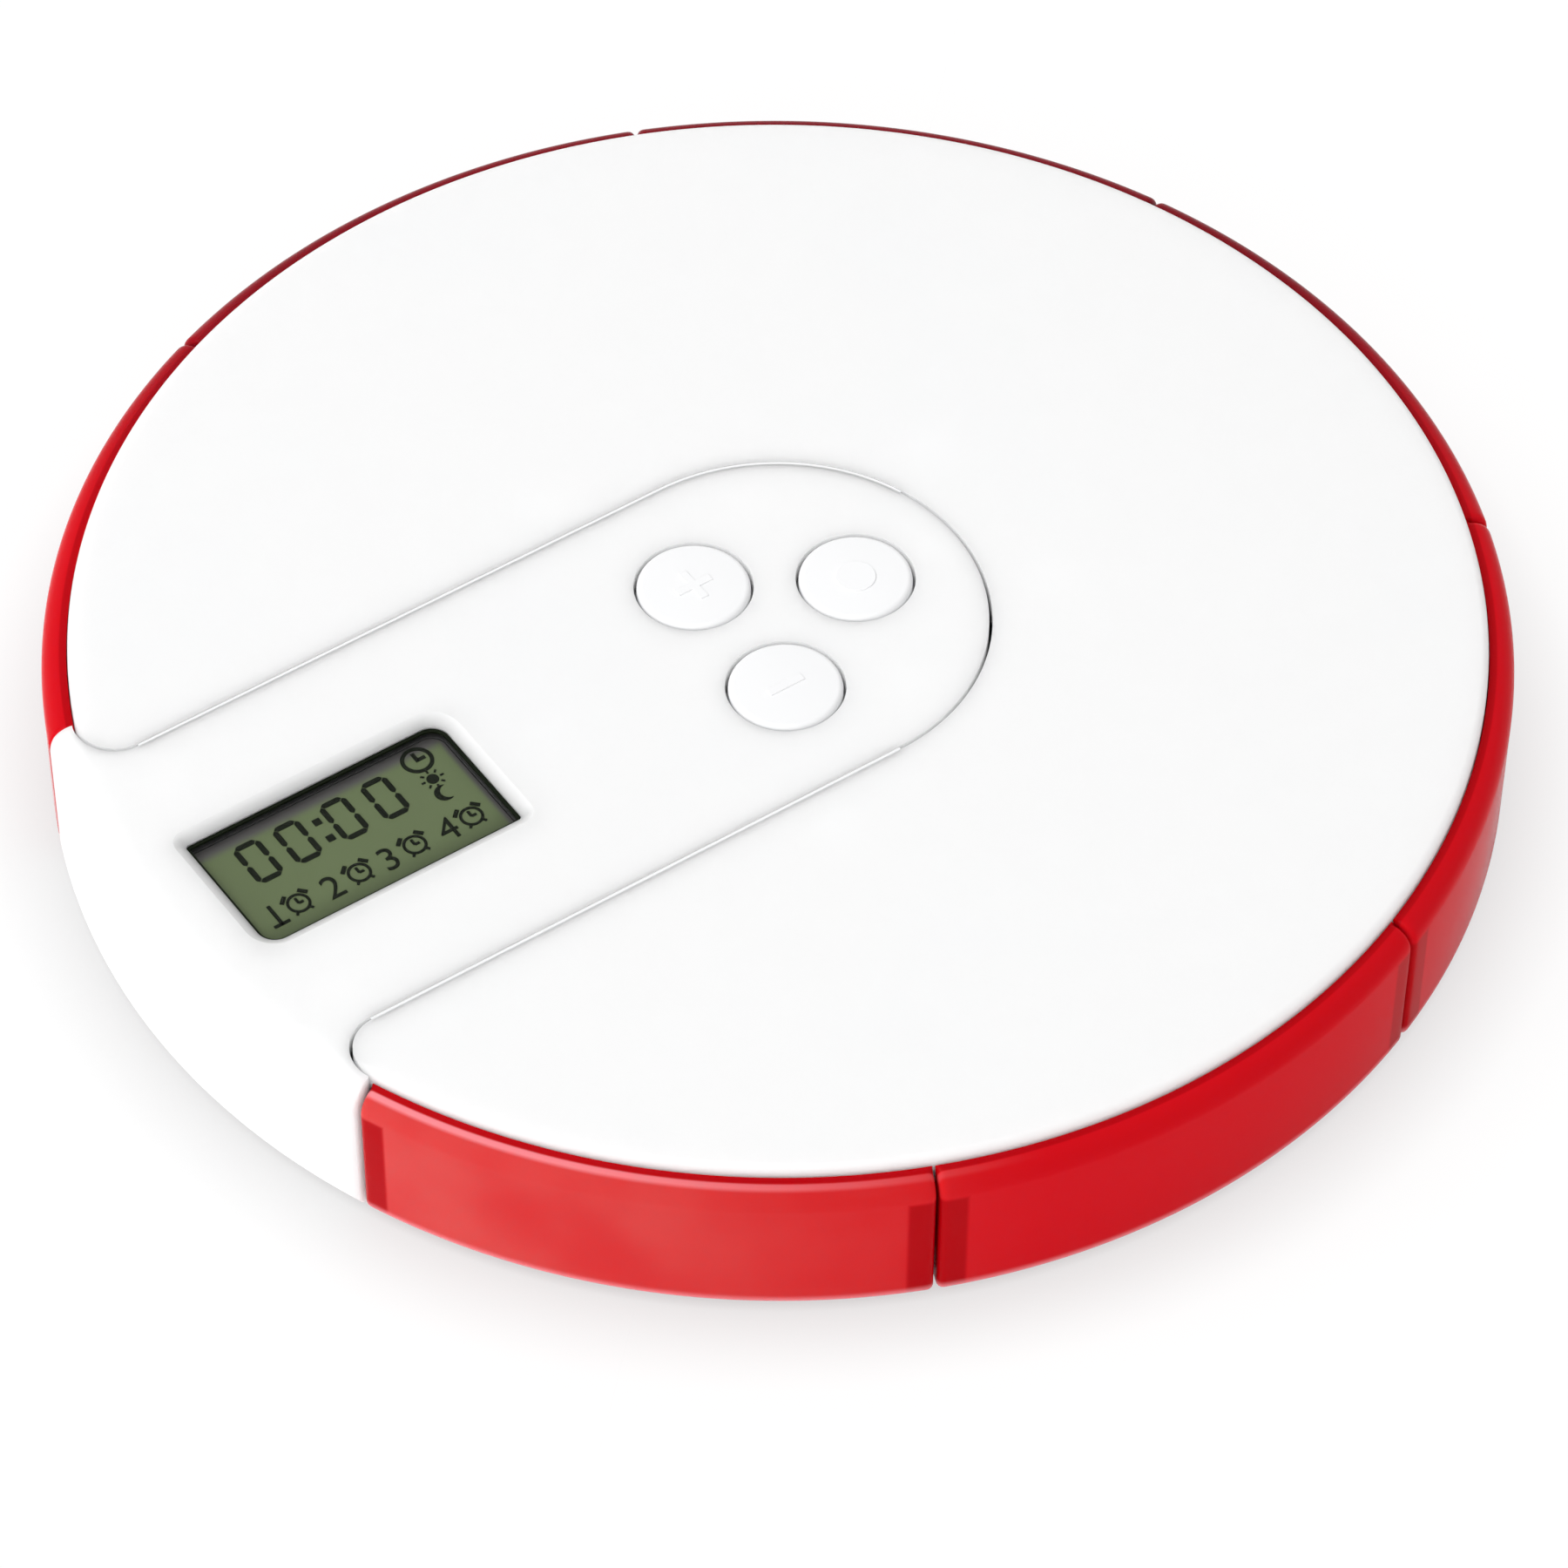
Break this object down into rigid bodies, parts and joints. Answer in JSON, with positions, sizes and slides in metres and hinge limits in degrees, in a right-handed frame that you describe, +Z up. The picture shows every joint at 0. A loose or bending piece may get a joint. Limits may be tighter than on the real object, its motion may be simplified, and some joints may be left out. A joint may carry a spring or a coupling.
{
  "type": "electronic pill box",
  "caption": "Flat round pill box with see-through drawers that pull out like slices, and a clock display with push buttons on its lid.",
  "frame": {"origin": "on the table, under the middle of the round box", "axes": "+Z up; the display reads upright from -Y and its slice is on the -X side; +X along the display's reading direction"},
  "size_m": [0.13, 0.13, 0.0167],
  "materials": {
    "white_case": "satin white moulding",
    "red_clear": "see-through red, glossy",
    "clear_pane": "clear, glossy",
    "black_plastic": "matte black",
    "display_glass": "grey-green display",
    "circuit_board": "green board",
    "rubber": "matte black",
    "steel": "bright"
  },
  "bodies": {
    "case": {"base_plate": "white_case", "board_screw_1": "steel", "board_screw_2": "steel", "board_screw_3": "steel", "buzzer": "black_plastic", "circuit_board": "circuit_board", "clock_crystal": "steel", "coin_cell": "steel", "contact_strip": "rubber", "control_panel": "white_case", "controller_chip": "black_plastic", "display_bezel": "black_plastic", "display_frame": "white_case", "display_glass": "display_glass", "display_window": "clear_pane", "lid": "white_case", "lid_screw_1": "steel", "lid_screw_2": "steel", "lid_screw_3": "steel", "lid_screw_4": "steel", "minus_switch": "black_plastic", "negative_contact": "steel", "panel_screw_1": "steel", "panel_screw_2": "steel", "panel_screw_3": "steel", "plus_switch": "black_plastic", "positive_contact": "steel", "rubber_foot_1": "rubber", "rubber_foot_2": "rubber", "rubber_foot_3": "rubber", "rubber_foot_4": "rubber", "set_switch": "black_plastic"},
    "drawer_1": {"drawer_1": "red_clear"},
    "drawer_2": {"drawer_2": "red_clear"},
    "drawer_3": {"drawer_3": "red_clear"},
    "drawer_4": {"drawer_4": "red_clear"},
    "drawer_5": {"drawer_5": "red_clear"},
    "drawer_6": {"drawer_6": "red_clear"},
    "drawer_7": {"drawer_7": "red_clear"},
    "plus_button": {"plus_button": "white_case", "plus_stem": "black_plastic"},
    "minus_button": {"minus_button": "white_case", "minus_stem": "black_plastic"},
    "set_button": {"set_button": "white_case", "set_stem": "black_plastic"},
    "battery_door": {"battery_door": "white_case"}
  },
  "joints": [
    {"name": "drawer_1_slide", "type": "slide", "parent": "case", "child": "drawer_1", "axis": [-0.7071, -0.7071, 0], "range_m": [0, 0.03]},
    {"name": "drawer_2_slide", "type": "slide", "parent": "case", "child": "drawer_2", "axis": [0, -1, 0], "range_m": [0, 0.03]},
    {"name": "drawer_3_slide", "type": "slide", "parent": "case", "child": "drawer_3", "axis": [0.7071, -0.7071, 0], "range_m": [0, 0.03]},
    {"name": "drawer_4_slide", "type": "slide", "parent": "case", "child": "drawer_4", "axis": [1, 0, 0], "range_m": [0, 0.03]},
    {"name": "drawer_5_slide", "type": "slide", "parent": "case", "child": "drawer_5", "axis": [0.7071, 0.7071, 0], "range_m": [0, 0.03]},
    {"name": "drawer_6_slide", "type": "slide", "parent": "case", "child": "drawer_6", "axis": [0, 1, 0], "range_m": [0, 0.03]},
    {"name": "drawer_7_slide", "type": "slide", "parent": "case", "child": "drawer_7", "axis": [-0.7071, 0.7071, 0], "range_m": [0, 0.03]},
    {"name": "plus_press", "type": "slide", "parent": "case", "child": "plus_button", "axis": [0, 0, -1], "range_m": [0, 0.0004], "stiffness_N_per_m": 1500},
    {"name": "minus_press", "type": "slide", "parent": "case", "child": "minus_button", "axis": [0, 0, -1], "range_m": [0, 0.0004], "stiffness_N_per_m": 1500},
    {"name": "set_press", "type": "slide", "parent": "case", "child": "set_button", "axis": [0, 0, -1], "range_m": [0, 0.0004], "stiffness_N_per_m": 1500},
    {"name": "battery_door_turn", "type": "hinge", "parent": "case", "child": "battery_door", "pos_m": [-0.042, 0, 0.0013], "axis": [0, 0, -1], "range_deg": [0, 45]}
  ]
}
